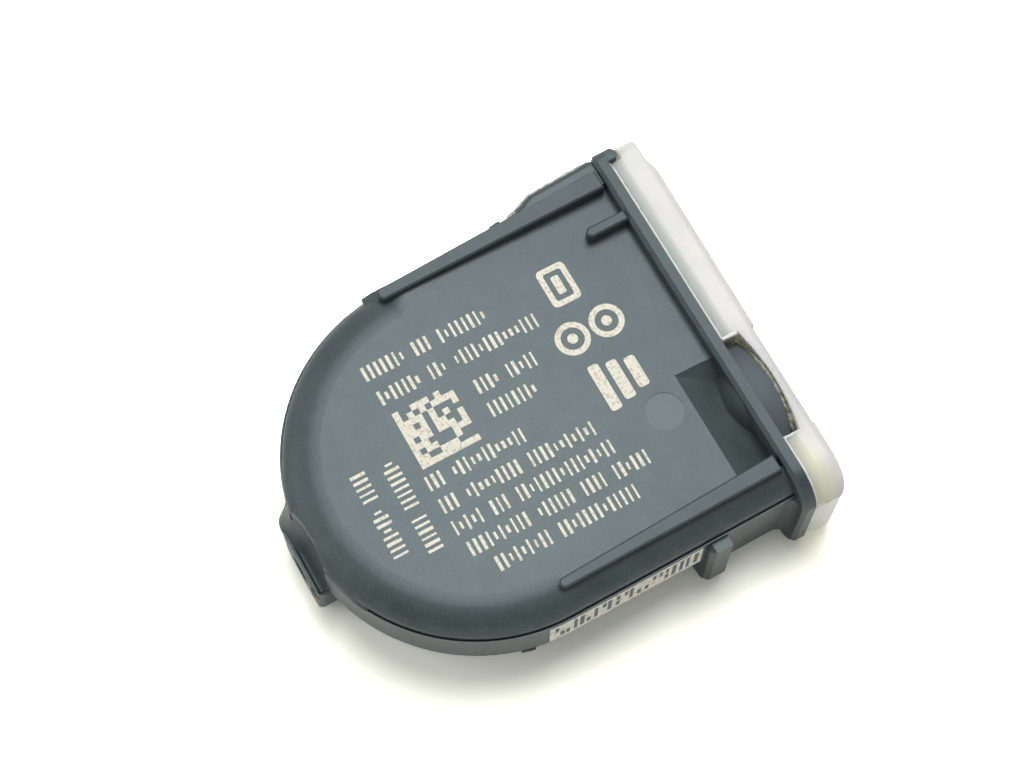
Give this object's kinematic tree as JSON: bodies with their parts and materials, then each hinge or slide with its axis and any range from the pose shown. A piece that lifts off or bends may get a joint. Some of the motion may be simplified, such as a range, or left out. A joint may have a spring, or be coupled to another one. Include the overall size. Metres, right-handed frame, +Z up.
{
  "type": "tyre pressure sensor",
  "caption": "D-shaped moulded tyre pressure sensor body with a recessed label face, side rails, a valve lug and a welded natural end cap.",
  "frame": {"origin": "on the rest face under the belly, on the upright axis of the round end", "axes": "+X from the valve lug to the capped mouth, +Z up through the label face"},
  "size_m": [0.0461, 0.0386, 0.0141],
  "materials": {
    "black_housing": "fine-grained moulded plastic, cream laser marks",
    "natural_cap": "milky natural plastic, slightly see-through",
    "board_laminate": "solder resist",
    "cell_steel": "drawn steel can",
    "nickel_strip": "plain nickel strip",
    "chip_mould": "moulding compound",
    "seal_rubber": "soft seal",
    "ferrite": "sintered ferrite",
    "copper_wire": "enamelled copper wire",
    "crystal_can": "small metal can",
    "capacitor_ceramic": "ceramic block"
  },
  "bodies": {
    "root": {"housing": "black_housing", "end_cap": "natural_cap", "circuit_board": "board_laminate", "coin_cell": "cell_steel", "positive_tab": "nickel_strip", "negative_tab": "nickel_strip", "sensor_chip": "chip_mould", "port_seal": "seal_rubber", "coil_base": "chip_mould", "coil_core": "ferrite", "coil_winding": "copper_wire", "quartz_crystal": "crystal_can", "loop_antenna": "nickel_strip", "filter_capacitors": "capacitor_ceramic", "matching_inductors": "ferrite", "chip_resistors": "chip_mould"}
  },
  "joints": []
}
